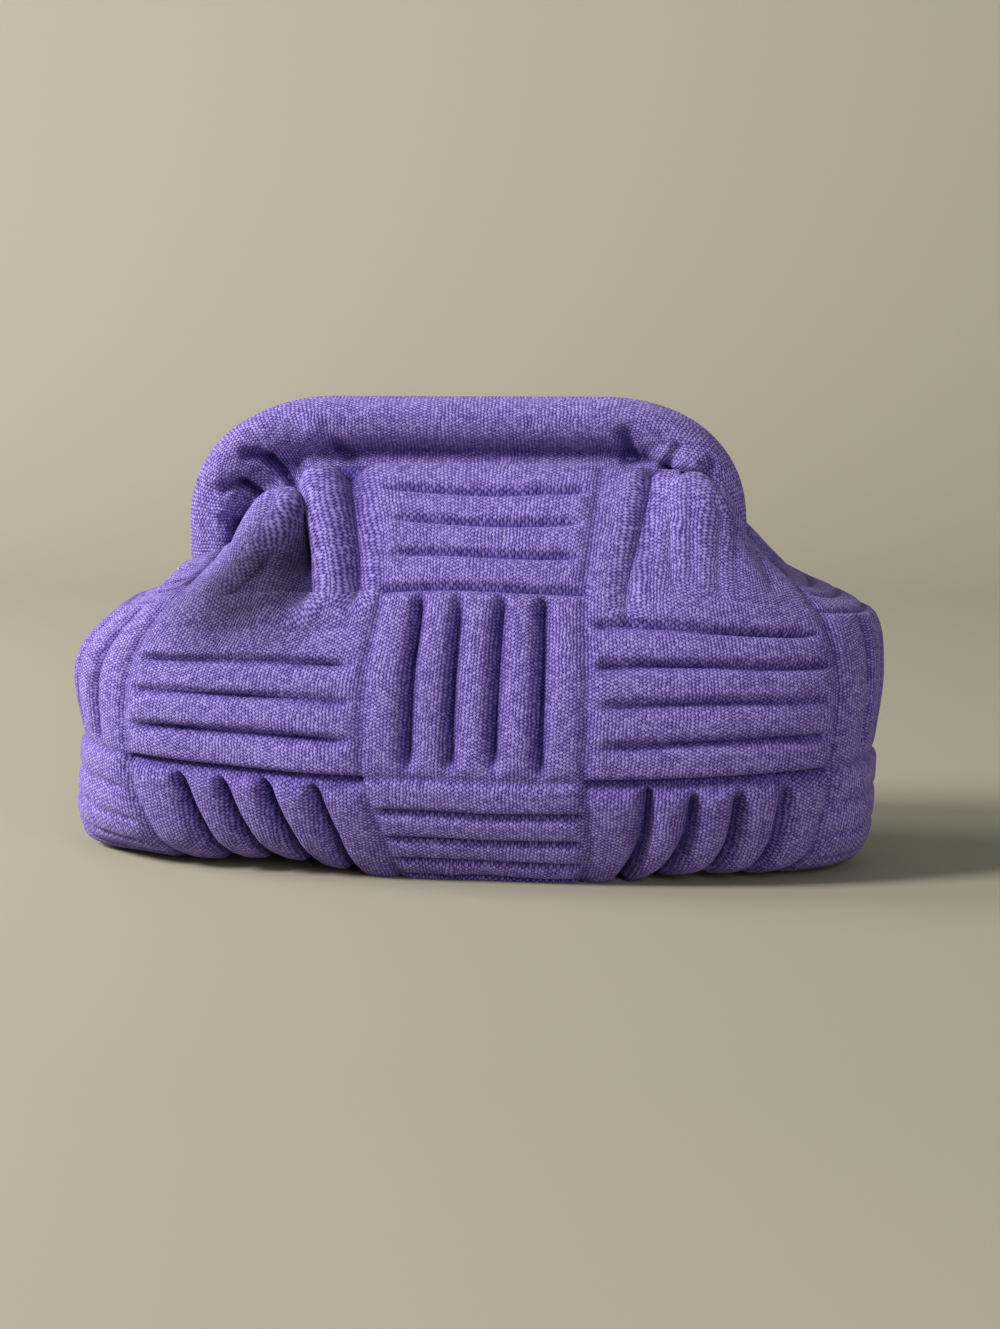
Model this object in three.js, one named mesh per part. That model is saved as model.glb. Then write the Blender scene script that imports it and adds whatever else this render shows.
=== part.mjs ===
// Knit clutch bag: a soft hollow pouch, knitted as a basket of ribbed blocks and gathered
// onto a hinged frame whose two jaws are wrapped in the same knit.
// Millimetres, +Z up. The origin is the middle of the flat sole, on the surface that the
// bag stands on. The front faces -Y, and the bag's length runs along X.

import * as THREE from "three";

// Frame jaws, seen from the front: an upside-down U with squarish oval corners. The soft pouch
// has settled a little to the right of the frame.
const FRAME_MIDDLE = -3.5;
const FRAME_HALF_WIDTH = 125;
const FRAME_TOP = 207.5;
const FRAME_CORNER_WIDTH = 66;
const FRAME_CORNER_HEIGHT = 56;
const FRAME_CORNER_SQUARE = 2.2;
const LEG_END = 139;

// A jaw's section is a padded roll with a flat skirt below it that ends at the seam. Inset
// is measured in from the frame's outline, and depth out from the plane where the jaws meet.
const GAP = 0.3;
const SEAM_GAP = 0.9;
const SKIRT_START = 20;
const SEAM_INSET = 30;
const SEAM_DEPTH = 14.5;
const KNIT_THICKNESS = 3;
const ROLL_RADIUS = 10;
const JAW_SECTION = [
  { inset: 0, depth: ROLL_RADIUS },
  { inset: 1.5, depth: 15.2 },
  { inset: 5, depth: 18.6 },
  { inset: 10, depth: 2 * ROLL_RADIUS },
  { inset: 15, depth: 18.6 },
  { inset: 18.8, depth: 15 },
  { inset: 21, depth: SEAM_DEPTH - 1 },
  { inset: SEAM_INSET, depth: SEAM_DEPTH },
  { inset: SEAM_INSET, depth: SEAM_DEPTH - KNIT_THICKNESS },
  { inset: SKIRT_START, depth: 9 },
  { inset: 16.5, depth: 3.4 },
  { inset: 10, depth: GAP },
  { inset: 3.5, depth: 3.4 },
];
const LEAST_SKIRT = 0.05;
const CORNER_DENTS = 4;
const CORNER_DENT_DEPTH = 2.5;

// The seam to the pouch, by place along the outline (1 to 2 is a corner, 3 the end of a leg):
// its inset on the left, and on the right, where it crosses onto the roll
const SEAM_LINE = [
  { place: 1.15, left: SEAM_INSET, right: SEAM_INSET },
  { place: 1.45, left: 34, right: 24.5 },
  { place: 1.68, left: 36, right: 14 },
  { place: 1.95, left: 33, right: 8.5 },
  { place: 2.4, left: 26, right: 4.5 },
  { place: 2.75, left: 15, right: 3 },
  { place: 3, left: 4, right: 2 },
];

// Hinge covers close the ends of both legs.
const HINGE_HEIGHT = 4;
const HINGE_HALF_WIDTH = 8.5;
const HINGE_HALF_DEPTH = 11;

// The mouth of the pouch follows the seam, in front of the roll where it crosses it, and ends
// under the hinge covers. From the seam the knit puffs forward, most at the corners, and on the
// right also outwards, at a lean in degrees. The puffs are slopes, in millimetres for each row of
// blocks. A corner starts, is full and fades at shares of the way from the middle to the end.
const MOUTH_END_REACH = 126;
const MOUTH_END_HEIGHT = { left: 122, right: 127 };
const ROLL_CLEARANCE = 0.5;
const PUFF_MIDDLE = 15;
const PUFF_CORNER = { left: 45, right: 12 };
const PUFF_OUT = { left: 0, right: 6 };
const PUFF_LEAN = 60;
const PUFF_START = 0.3;
const PUFF_FULL = 0.5;
const PUFF_FADE = 0.35;
const LEAN_SPAN = 0.27;
const PUFF_END = 5;

// How the knit is gathered onto the mouth: place is the share of the way from the middle of a
// side to the end of the bag, and the rest the share of the mouth's length there.
const GATHER = [
  { place: 0, left: 0, right: 0 },
  { place: 0.2, left: 0.27, right: 0.27 },
  { place: 0.365, left: 0.455, right: 0.46 },
  { place: 0.536, left: 0.56, right: 0.64 },
  { place: 0.62, left: 0.65, right: 0.73 },
  { place: 0.8, left: 0.83, right: 0.88 },
  { place: 1, left: 1, right: 1 },
];

// Level sections of the pouch, from the shoulder down to the sole; v is the place on the knit, in
// block rows. Each is a rounded oval that eases, by a power, from its middle height to the height
// of each end. Below the level of the floor the sole is flattened.
const SECTIONS = [
  {
    name: "shoulder", v: 1, left: 156, right: 171, front: 62, back: 60,
    square: 2.7, middle: 127, leftEnd: 110, rightEnd: 111, ease: 2, twist: -2,
  },
  {
    name: "belly", v: 1.5, left: 178, right: 178, front: 76, back: 74,
    square: 2.7, middle: 88, leftEnd: 88, rightEnd: 88, ease: 2, twist: -4,
  },
  {
    name: "heel", v: 2, left: 173, right: 173, front: 80, back: 76,
    square: 2.8, middle: 48, leftEnd: 54, rightEnd: 52, ease: 2, twist: -5,
  },
  {
    name: "foot", v: 2.5, left: 181, right: 176, front: 76, back: 76,
    square: 2.6, middle: 17, leftEnd: 21, rightEnd: 18, ease: 1, twist: -5,
  },
  {
    name: "sole", v: 3, left: 180, right: 169, front: 65, back: 65,
    square: 2.4, middle: -4, leftEnd: 6, rightEnd: 7, ease: 0.5, twist: -5,
  },
];

// The knit: columns of blocks round the pouch, in which upright ribs alternate with level ribs.
// Ribs are what is left between narrow grooves, which fade out towards the ends of the ribs.
// The borders between blocks lie at a share of the height of the ribs. In the top row the knit
// is stretched, and its grooves keep a share of their depth.
const COLUMNS = [
  { name: "front middle", width: 96, ribs: 5, topGrooves: 1 },
  { name: "front right", width: 113, ribs: 5, topGrooves: 0.25 },
  { name: "right end", width: 103, ribs: 5, topGrooves: 0.6 },
  { name: "back right", width: 113, ribs: 5, topGrooves: 0.25 },
  { name: "back middle", width: 96, ribs: 5, topGrooves: 1 },
  { name: "back left", width: 117, ribs: 5, topGrooves: 0.25 },
  { name: "left end", width: 135, ribs: 7, topGrooves: 0.35 },
  { name: "front left", width: 117, ribs: 5, topGrooves: 0.25 },
];
const LEVEL_RIBS = [4, 5, 5];
const PATTERN_SHIFT = 10;
const RIB_HEIGHT = 3.6;
const CREST_FLATNESS = 3;
const BORDER_LEVEL = 0.5;
const RIB_FADE = 0.16;

// Folds where the knit is gathered onto the corners of the frame: soft ridges, and creases of
// negative height, along straight lines down the flat knit. Around is measured from the middle
// of the front, in millimetres at the belly, and down in rows. A fold reaches to its left and
// right by different amounts.
const FOLDS = [
  {
    name: "left roll", around: -94, down: 0.12, endAround: -122, endDown: 0.86,
    left: 36, right: 22, height: 3, endHeight: 7,
  },
  {
    name: "left crease", around: -79, down: 0.08, endAround: -79, endDown: 1.02,
    left: 22, right: 9, height: -8, endHeight: -8,
  },
  {
    name: "left hollow", around: -116, down: 1.14, endAround: -97, endDown: 1.14,
    left: 24, right: 24, height: -6, endHeight: -6,
  },
  {
    name: "left stripe", around: -65, down: 0.05, endAround: -61, endDown: 1.35,
    left: 10, right: 10, height: 3, endHeight: 0,
  },
  {
    name: "right crease", around: 84, down: 0.05, endAround: 79, endDown: 1.08,
    left: 8, right: 8, height: -5, endHeight: -2,
  },
  {
    name: "right pleat", around: 114, down: 0.25, endAround: 128, endDown: 1.3,
    left: 34, right: 34, height: 4, endHeight: 0,
  },
  {
    name: "back right roll", around: 330, down: 0.1, endAround: 326, endDown: 1.3,
    left: 32, right: 32, height: 6, endHeight: 0,
  },
  {
    name: "back right crease", around: 358, down: 0, endAround: 362, endDown: 0.9,
    left: 9, right: 9, height: -6, endHeight: -1,
  },
  {
    name: "back left roll", around: -332, down: 0.1, endAround: -328, endDown: 1.3,
    left: 34, right: 34, height: 6, endHeight: 0,
  },
  {
    name: "back left crease", around: -360, down: 0, endAround: -365, endDown: 0.9,
    left: 9, right: 9, height: -6, endHeight: -1,
  },
];
const ROW_HEIGHT = 70;
const FOLLOWED_INSIDE = 0.9;

// Mesh steps
const RIB_PLACES = [0.2, 0.5, 0.8, 1];
const ALONG_RIB = [0.05, RIB_FADE, 0.38, 0.62, 1 - RIB_FADE, 0.95];
const CORNER_STEPS = 12;
const LENGTH_STEPS = 200;
const DIFFERENCE = 1e-3;

const COLOUR_KNIT = 0x6f52b5;
const COLOUR_FRAME_KNIT = 0x6a4fb0;
const RIGHT_ANGLE = Math.PI / 2;
const { lerp, clamp, smoothstep, degToRad, euclideanModulo } = THREE.MathUtils;

// A point of the jaws' outline, drawn in by inset. h runs from 0 to 1 along the top from its
// middle, from 1 to 2 round the right corner, and from 2 to 3 down the right leg.
function jawOutline(h, inset) {
  const cornerX = FRAME_HALF_WIDTH - FRAME_CORNER_WIDTH;
  const cornerZ = FRAME_TOP - FRAME_CORNER_HEIGHT;
  if (h <= 1) return { x: h * cornerX, z: FRAME_TOP - inset };
  if (h >= 2) return { x: FRAME_HALF_WIDTH - inset, z: lerp(cornerZ, LEG_END, h - 2) };
  const angle = (h - 1) * RIGHT_ANGLE;
  return {
    x: cornerX + (FRAME_CORNER_WIDTH - inset) * Math.sin(angle) ** (2 / FRAME_CORNER_SQUARE),
    z: cornerZ + (FRAME_CORNER_HEIGHT - inset) * Math.cos(angle) ** (2 / FRAME_CORNER_SQUARE),
  };
}

// The value in one column of a table at a place, straight from row to row.
function lookUp(table, place, column) {
  const next = table.findIndex((row) => row.place > place);
  if (next === 0) return table[0][column];
  if (next < 0) return table.at(-1)[column];
  const [before, after] = [table[next - 1], table[next]];
  return lerp(before[column], after[column], (place - before.place) / (after.place - before.place));
}

// An inset of the jaw's section: past the roll, the skirt is cut off or drawn out to the seam.
function fittedInset(h, inset, hand) {
  if (inset <= SKIRT_START) return inset;
  const skirt = (lookUp(SEAM_LINE, h, hand) - SKIRT_START) / (SEAM_INSET - SKIRT_START);
  return SKIRT_START + (inset - SKIRT_START) * Math.max(skirt, LEAST_SKIRT);
}

// A quarter of the pouch's mouth: it follows the seam as h runs from 0 to 3, and then from 3
// to 4 turns outwards under the hinge cover.
function mouthQuarter(hand) {
  return (h) => {
    const inset = lookUp(SEAM_LINE, Math.min(h, 3), hand) + SEAM_GAP;
    const seam = jawOutline(Math.min(h, 3), inset);
    const roll = ROLL_RADIUS + Math.sqrt(Math.max(ROLL_RADIUS ** 2 - (inset - ROLL_RADIUS) ** 2, 0));
    const depth = Math.max(SEAM_DEPTH + GAP, roll + KNIT_THICKNESS + ROLL_CLEARANCE);
    const turn = Math.max(h - 3, 0) * RIGHT_ANGLE;
    return new THREE.Vector3(
      lerp(seam.x, MOUTH_END_REACH, Math.sin(turn)),
      depth * Math.cos(turn),
      lerp(seam.z, MOUTH_END_HEIGHT[hand], Math.sqrt(Math.sin(turn))),
    );
  };
}

// A quarter of an oval section, from the middle of a side at t 0 to the end at t 1.
function sectionQuarter(section, reach, depth, end) {
  return (t) => {
    const across = Math.sin(t * RIGHT_ANGLE) ** (2 / section.square);
    const out = Math.cos(t * RIGHT_ANGLE) ** (2 / section.square);
    const z = lerp(section.middle, end, across ** section.ease);
    return new THREE.Vector3(reach * across, depth * out, z);
  };
}

// The curve from parameter 0 to end, looked up by the share of its length.
function byLength(curve, end) {
  const lengths = [0];
  for (let i = 1; i <= LENGTH_STEPS; i++) {
    const step = curve((i / LENGTH_STEPS) * end).distanceTo(curve(((i - 1) / LENGTH_STEPS) * end));
    lengths.push(lengths[i - 1] + step);
  }
  return (share) => {
    const wanted = share * lengths[LENGTH_STEPS];
    let i = 1;
    while (i < LENGTH_STEPS && lengths[i] < wanted) i++;
    const part = (wanted - lengths[i - 1]) / (lengths[i] - lengths[i - 1]);
    return curve(((i - 1 + part) / LENGTH_STEPS) * end);
  };
}

// A quarter of the mouth with the knit drawn together along it.
function gatheredMouth(hand) {
  const mouth = byLength(mouthQuarter(hand), 4);
  return (share) => mouth(lookUp(GATHER, share, hand));
}

// The four quarters of every section, in the order front right, back right, back left,
// front left, with the sides that each quarter lies on.
const SIDES = [
  { x: 1, y: -1, hand: "right", depth: "front", end: "rightEnd" },
  { x: 1, y: 1, hand: "right", depth: "back", end: "rightEnd" },
  { x: -1, y: 1, hand: "left", depth: "back", end: "leftEnd" },
  { x: -1, y: -1, hand: "left", depth: "front", end: "leftEnd" },
];
const KNOTS = [0, ...SECTIONS.map((section) => section.v)];
const QUARTERS = SIDES.map((side) => [
  gatheredMouth(side.hand),
  ...SECTIONS.map((s) => byLength(sectionQuarter(s, s[side.hand], s[side.depth], s[side.end]), 1)),
]);

// The smooth pouch: at each u, a cubic curve in v through the sections, which leaves the seam
// with a forward puff. u is the share of the way round from the middle of the front, rightwards.
function pouchPoint(u, v) {
  const turn = euclideanModulo(u, 1) * 4;
  const quarter = Math.min(Math.floor(turn), 3);
  const share = quarter % 2 ? quarter + 1 - turn : turn - quarter;
  const side = SIDES[quarter];
  const points = QUARTERS[quarter].map((curve, k) => {
    const point = curve(share).multiply(new THREE.Vector3(side.x, side.y, 1));
    if (k === 0) return point.setX(point.x + FRAME_MIDDLE);
    return point.applyAxisAngle(new THREE.Vector3(0, 0, 1), degToRad(SECTIONS[k - 1].twist));
  });
  const atCorner = smoothstep(share, PUFF_START, PUFF_FULL) * smoothstep(1 - share, 0, PUFF_FADE);
  const lean = degToRad(PUFF_LEAN) * clamp((share - PUFF_START) / LEAN_SPAN, 0, 1);
  const out = PUFF_OUT[side.hand] * atCorner;
  const puff = new THREE.Vector3(
    side.x * (PUFF_END * share ** 6 + out * Math.sin(lean)),
    side.y * (PUFF_MIDDLE * (1 - share ** 4) + PUFF_CORNER[side.hand] * atCorner),
    out * Math.cos(lean),
  );
  const last = KNOTS.length - 1;
  const slope = (i) => {
    const [a, b] = [Math.max(i - 1, 0), Math.min(i + 1, last)];
    const along = points[b].clone().sub(points[a]).divideScalar(KNOTS[b] - KNOTS[a]);
    return i === 0 ? along.add(puff) : along;
  };
  let k = 0;
  while (k < last - 1 && v > KNOTS[k + 1]) k++;
  const span = KNOTS[k + 1] - KNOTS[k];
  const t = (v - KNOTS[k]) / span;
  return new THREE.Vector3()
    .addScaledVector(points[k], 2 * t ** 3 - 3 * t ** 2 + 1)
    .addScaledVector(slope(k), (t ** 3 - 2 * t ** 2 + t) * span)
    .addScaledVector(points[k + 1], 3 * t ** 2 - 2 * t ** 3)
    .addScaledVector(slope(k + 1), (t ** 3 - t ** 2) * span);
}

function pouchNormal(u, v) {
  const [low, high] = [Math.max(v - DIFFERENCE, 0), Math.min(v + DIFFERENCE, LEVEL_RIBS.length)];
  const round = pouchPoint(u + DIFFERENCE, v).sub(pouchPoint(u - DIFFERENCE, v));
  const down = pouchPoint(u, high).sub(pouchPoint(u, low));
  return down.cross(round).normalize();
}

// Height of the folds above the smooth pouch. Each goes evenly from its height at one end to
// that at the other, and falls off from its line as (1 - d^2)^2, where d is the distance over
// the reach. All ease down to nothing at the seam.
function foldHeight(u, v) {
  const place = new THREE.Vector3((euclideanModulo(u + 0.5, 1) - 0.5) * GIRTH, v * ROW_HEIGHT, 0);
  let height = 0;
  for (const fold of FOLDS) {
    const start = new THREE.Vector3(fold.around, fold.down * ROW_HEIGHT, 0);
    const end = new THREE.Vector3(fold.endAround, fold.endDown * ROW_HEIGHT, 0);
    const line = new THREE.Line3(start, end);
    const along = line.closestPointToPointParameter(place, true);
    const nearest = line.at(along, new THREE.Vector3());
    const reach = place.x < nearest.x ? fold.left : fold.right;
    const distance = place.distanceTo(nearest) / reach;
    if (distance < 1) height += lerp(fold.height, fold.endHeight, along) * (1 - distance ** 2) ** 2;
  }
  return height * Math.sin(Math.min(1, v / RIB_FADE) * RIGHT_ANGLE);
}

// A point of one skin of the pouch: lifted off the smooth pouch, and flattened on a floor.
function skinPoint(u, v, lift, floor) {
  const point = pouchPoint(u, v).addScaledVector(pouchNormal(u, v), lift);
  return point.setZ(Math.max(point.z, floor));
}

// Columns of the knit, as shares of the way round
const GIRTH = COLUMNS.reduce((sum, column) => sum + column.width, 0);
const STARTS = [(PATTERN_SHIFT - COLUMNS[0].width / 2) / GIRTH];
for (const column of COLUMNS) STARTS.push(STARTS.at(-1) + column.width / GIRTH);

function isUpright(column, row) {
  return (column + row) % 2 === 1;
}

// Height of the ribs of one block, at x and y from 0 to 1 across it and down it.
function ribHeight(column, row, x, y) {
  const upright = isUpright(column, row);
  const ribs = upright ? COLUMNS[column].ribs : LEVEL_RIBS[row];
  const phase = (upright ? x : y) * ribs;
  const along = upright ? y : x;
  const groove = Math.abs(2 * (phase - Math.floor(phase)) - 1) ** CREST_FLATNESS;
  const atBorder = Math.round(phase) === 0 || Math.round(phase) === ribs;
  const fromEnd = Math.sin(Math.min(1, along / RIB_FADE, (1 - along) / RIB_FADE) * RIGHT_ANGLE);
  const kept = row === 0 ? COLUMNS[column].topGrooves : 1;
  const depth = groove * (atBorder ? 1 - BORDER_LEVEL : fromEnd * kept);
  const v = row + y;
  const fromEdge = Math.sin(Math.min(1, v / RIB_FADE, (LEVEL_RIBS.length - v) / RIB_FADE) * RIGHT_ANGLE);
  return RIB_HEIGHT * fromEdge * (1 - Math.max(depth, (1 - BORDER_LEVEL) * (1 - fromEnd)));
}

// A closed mesh under construction
class Shell {
  positions = [];
  faces = [];
  known = new Map();

  vertex(key, makePoint) {
    if (!this.known.has(key)) {
      this.known.set(key, this.positions.length / 3);
      this.positions.push(...makePoint().toArray());
    }
    return this.known.get(key);
  }

  // A flat or bent four-sided face, as two triangles; a doubled corner leaves one.
  quad(a, b, c, d) {
    for (const face of [[a, b, c], [a, c, d]]) {
      if (new Set(face).size === 3) this.faces.push(...face);
    }
  }

  // Joins two lines of different counts: upper lies above lower and both run rightwards.
  zip(upper, lower) {
    let [i, j] = [0, 0];
    while (i < upper.length - 1 || j < lower.length - 1) {
      const upperNext = (i + 1) / (upper.length - 1);
      const lowerNext = (j + 1) / (lower.length - 1);
      if (upperNext <= lowerNext) this.faces.push(upper[i], lower[j], upper[++i]);
      else this.faces.push(upper[i], lower[j], lower[++j]);
    }
  }

  geometry() {
    const geometry = new THREE.BufferGeometry();
    geometry.setAttribute("position", new THREE.Float32BufferAttribute(this.positions, 3));
    geometry.setIndex(this.faces);
    geometry.computeVertexNormals();
    return geometry;
  }
}

// Even shares from 0 to 1
function steps(count) {
  return Array.from({ length: count + 1 }, (_, i) => i / count);
}

function outerKey(u, v) {
  return `outer ${euclideanModulo(u, 1).toFixed(6)} ${v.toFixed(6)}`;
}

// One block of the knit: a grid that is fine across its ribs, joined to plainer borders that
// it shares with its neighbours.
function addBlock(shell, column, row) {
  const at = (x, y) => {
    const u = lerp(STARTS[column], STARTS[column + 1], x);
    const v = row + y;
    const lift = () => foldHeight(u, v) + ribHeight(column, row, x, y);
    return shell.vertex(outerKey(u, v), () => skinPoint(u, v, lift(), 0));
  };
  const upright = isUpright(column, row);
  const ribs = upright ? COLUMNS[column].ribs : LEVEL_RIBS[row];
  const across = [];
  for (let rib = 0; rib < ribs; rib++) across.push(...RIB_PLACES.map((place) => (rib + place) / ribs));
  across.pop();
  const xs = upright ? across : ALONG_RIB;
  const ys = upright ? ALONG_RIB : across;
  for (let i = 1; i < xs.length; i++) {
    for (let j = 1; j < ys.length; j++) {
      shell.quad(at(xs[i - 1], ys[j - 1]), at(xs[i - 1], ys[j]), at(xs[i], ys[j]), at(xs[i], ys[j - 1]));
    }
  }
  const level = steps(COLUMNS[column].ribs);
  const upDown = steps(LEVEL_RIBS[row]);
  const [left, right, top, bottom] = [xs[0], xs.at(-1), ys[0], ys.at(-1)];
  shell.zip(level.map((x) => at(x, 0)), xs.map((x) => at(x, top)));
  shell.zip(xs.map((x) => at(x, bottom)), level.map((x) => at(x, 1)));
  shell.zip(ys.map((y) => at(left, y)), upDown.map((y) => at(0, y)));
  shell.zip(upDown.map((y) => at(1, y)), ys.map((y) => at(right, y)));
}

// The pouch: ribbed outside, plain inside, open at the mouth and closed by a flat sole.
function makePouch() {
  const shell = new Shell();
  for (let column = 0; column < COLUMNS.length; column++) {
    for (let row = 0; row < LEVEL_RIBS.length; row++) addBlock(shell, column, row);
  }
  const borders = COLUMNS.flatMap(({ ribs }, k) => {
    return steps(ribs).slice(1).map((x) => lerp(STARTS[k], STARTS[k + 1], x));
  });
  const place = (i) => borders[euclideanModulo(i, borders.length)];
  const outer = (i, v) => shell.known.get(outerKey(place(i), v));
  const inner = (i, v) =>
    shell.vertex(`inner ${euclideanModulo(i, borders.length)} ${v}`, () => {
      const lift = FOLLOWED_INSIDE * foldHeight(place(i), v) - KNIT_THICKNESS;
      return skinPoint(place(i), v, lift, KNIT_THICKNESS);
    });
  const levels = LEVEL_RIBS.flatMap((ribs, row) => steps(ribs).slice(row ? 1 : 0).map((y) => row + y));
  const bottom = LEVEL_RIBS.length;
  for (let i = 0; i < borders.length; i++) {
    for (let k = 1; k < levels.length; k++) {
      const [above, below] = [levels[k - 1], levels[k]];
      shell.quad(inner(i, above), inner(i + 1, above), inner(i + 1, below), inner(i, below));
    }
    shell.quad(outer(i, 0), outer(i + 1, 0), inner(i + 1, 0), inner(i, 0));
  }
  // Strips across the sole, from the right end to the left end
  const rightEnd = COLUMNS[0].ribs + COLUMNS[1].ribs + Math.floor(COLUMNS[2].ribs / 2) - 1;
  for (let j = 0; j < borders.length / 2 - 1; j++) {
    const [front, nextFront] = [rightEnd - j, rightEnd - j - 1];
    const [back, nextBack] = [rightEnd + 1 + j, rightEnd + 2 + j];
    shell.quad(outer(front, bottom), outer(nextFront, bottom), outer(nextBack, bottom), outer(back, bottom));
    shell.quad(inner(front, bottom), inner(back, bottom), inner(nextBack, bottom), inner(nextFront, bottom));
  }
  return shell.geometry();
}

// One jaw: its section carried along the outline from the left leg to the right leg. The
// gathers press shallow dents into the lower half of the roll at the corners.
function makeJaw(side) {
  const right = [0, 0.5, ...steps(CORNER_STEPS).map((t) => 1 + t), 2.5, 3];
  const stations = [...right.slice(1).reverse().map((h) => -h), ...right];
  const shell = new Shell();
  const rings = stations.map((station, i) => {
    const h = Math.abs(station);
    const hand = station < 0 ? "left" : "right";
    const inCorner = clamp(h - 1, 0, 1);
    const wave = Math.cos(inCorner * 2 * Math.PI * CORNER_DENTS) ** 2;
    const dent = CORNER_DENT_DEPTH * Math.sin(inCorner * Math.PI) * wave;
    return JAW_SECTION.map((place, k) =>
      shell.vertex(`jaw ${i} ${k}`, () => {
        const { x, z } = jawOutline(h, fittedInset(h, place.inset, hand));
        const lower = place.depth > SEAM_DEPTH && place.inset > ROLL_RADIUS;
        const depth = place.depth - (lower ? dent : 0);
        return new THREE.Vector3(FRAME_MIDDLE + Math.sign(station) * x, side * depth, z);
      }),
    );
  });
  const count = JAW_SECTION.length;
  const turned = (a, b, c, d) => (side < 0 ? shell.quad(a, b, c, d) : shell.quad(d, c, b, a));
  for (let i = 1; i < rings.length; i++) {
    for (let k = 0; k < count; k++) {
      const next = (k + 1) % count;
      turned(rings[i - 1][k], rings[i - 1][next], rings[i][next], rings[i][k]);
    }
  }
  const outline = JAW_SECTION.map((place) => new THREE.Vector2(place.inset, place.depth));
  for (const [a, b, c] of THREE.ShapeUtils.triangulateShape(outline, [])) {
    const [first, last] = [rings[0], rings.at(-1)];
    turned(first[a], first[b], first[c], first[c]);
    turned(last[a], last[c], last[b], last[b]);
  }
  return shell.geometry();
}

// A hinge cover: a plain knuckle with round ends that spans the ends of both jaws' legs.
function makeHingeCover(side) {
  const shape = new THREE.Shape();
  const straight = HINGE_HALF_DEPTH - HINGE_HALF_WIDTH;
  shape.absarc(0, straight, HINGE_HALF_WIDTH, 0, Math.PI);
  shape.absarc(0, -straight, HINGE_HALF_WIDTH, Math.PI, 2 * Math.PI);
  const settings = { depth: HINGE_HEIGHT, bevelEnabled: false, curveSegments: 8 };
  const geometry = new THREE.ExtrudeGeometry(shape, settings);
  const x = FRAME_MIDDLE + side * (FRAME_HALF_WIDTH - ROLL_RADIUS);
  return geometry.translate(x, 0, LEG_END - GAP - HINGE_HEIGHT);
}

function knitPiece(name, geometry, color) {
  const material = new THREE.MeshStandardMaterial({ color, roughness: 0.95, metalness: 0 });
  const piece = new THREE.Mesh(geometry, material);
  piece.name = name;
  return piece;
}

const bag = new THREE.Group();
bag.add(knitPiece("pouch", makePouch(), COLOUR_KNIT));
bag.add(knitPiece("front_jaw", makeJaw(-1), COLOUR_FRAME_KNIT));
bag.add(knitPiece("back_jaw", makeJaw(1), COLOUR_FRAME_KNIT));
bag.add(knitPiece("left_hinge_cover", makeHingeCover(-1), COLOUR_FRAME_KNIT));
bag.add(knitPiece("right_hinge_cover", makeHingeCover(1), COLOUR_FRAME_KNIT));

export default bag;
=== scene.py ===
# Knit clutch bag: a soft pouch of basket-weave ribs, gathered onto a knit-wrapped frame.
# The bag's lengths are in millimetres until its meshes are made. Meshes and the stage are in
# metres. The front faces -Y.

import bpy
import numpy as np
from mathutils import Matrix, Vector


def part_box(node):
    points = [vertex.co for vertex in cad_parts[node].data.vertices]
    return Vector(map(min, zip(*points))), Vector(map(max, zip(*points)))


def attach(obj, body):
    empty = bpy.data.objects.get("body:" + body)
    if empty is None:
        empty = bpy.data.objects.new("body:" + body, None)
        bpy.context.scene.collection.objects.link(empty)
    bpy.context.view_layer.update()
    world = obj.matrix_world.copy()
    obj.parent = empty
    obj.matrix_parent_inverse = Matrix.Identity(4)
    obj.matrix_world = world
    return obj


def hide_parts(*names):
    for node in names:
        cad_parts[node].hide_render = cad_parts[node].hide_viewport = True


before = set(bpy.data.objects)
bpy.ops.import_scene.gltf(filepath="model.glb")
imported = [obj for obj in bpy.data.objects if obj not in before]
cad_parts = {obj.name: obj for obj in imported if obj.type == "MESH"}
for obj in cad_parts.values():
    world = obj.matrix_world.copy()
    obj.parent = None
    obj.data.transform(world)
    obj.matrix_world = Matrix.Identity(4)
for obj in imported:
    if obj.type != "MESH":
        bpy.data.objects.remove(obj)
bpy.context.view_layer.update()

# Frame jaws: two bent metal bars, each padded and wrapped in a sleeve of the bag's own yarn,
# knitted plain. Below the padded roll the sleeve's edges are pressed together as a skirt, and
# the gathered pouch is sewn to the skirt's edge, which puckers the sleeve at its corners.
MM = 0.001
jaw_low, jaw_high = (np.array(corner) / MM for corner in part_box("front_jaw"))
FRAME_MIDDLE = (jaw_high[0] + jaw_low[0]) / 2
HALF_WIDTH = (jaw_high[0] - jaw_low[0]) / 2
JAW_TOP = jaw_high[2]
LEFT_LEG_LONGER = 7
RIGHT_LEG_END = jaw_low[2]
LEFT_LEG_END = jaw_low[2] - LEFT_LEG_LONGER
CORNER_WIDTH = 66
CORNER_HEIGHT = 56
CORNER_SQUARE = 2.2
ROLL_RADIUS = 10
SEAM_INSET = 30
SEAM_DEPTH = 14.5
SLEEVE_THICKNESS = 3

# The seam to the pouch, by place along the outline (1 to 2 is a corner, 3 the end of a leg):
# its inset from the outline on the left and on the right, where it crosses onto the roll
SEAM_LINE = np.array([
    (1.15, SEAM_INSET, SEAM_INSET),
    (1.38, 40, 26),
    (1.45, 43, 24.5),
    (1.55, 43, 20),
    (1.68, 38, 14),
    (1.95, 33, 8.5),
    (2.40, 26, 4.5),
    (2.75, 15, 3),
    (3.00, 4, 2),
])

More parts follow.
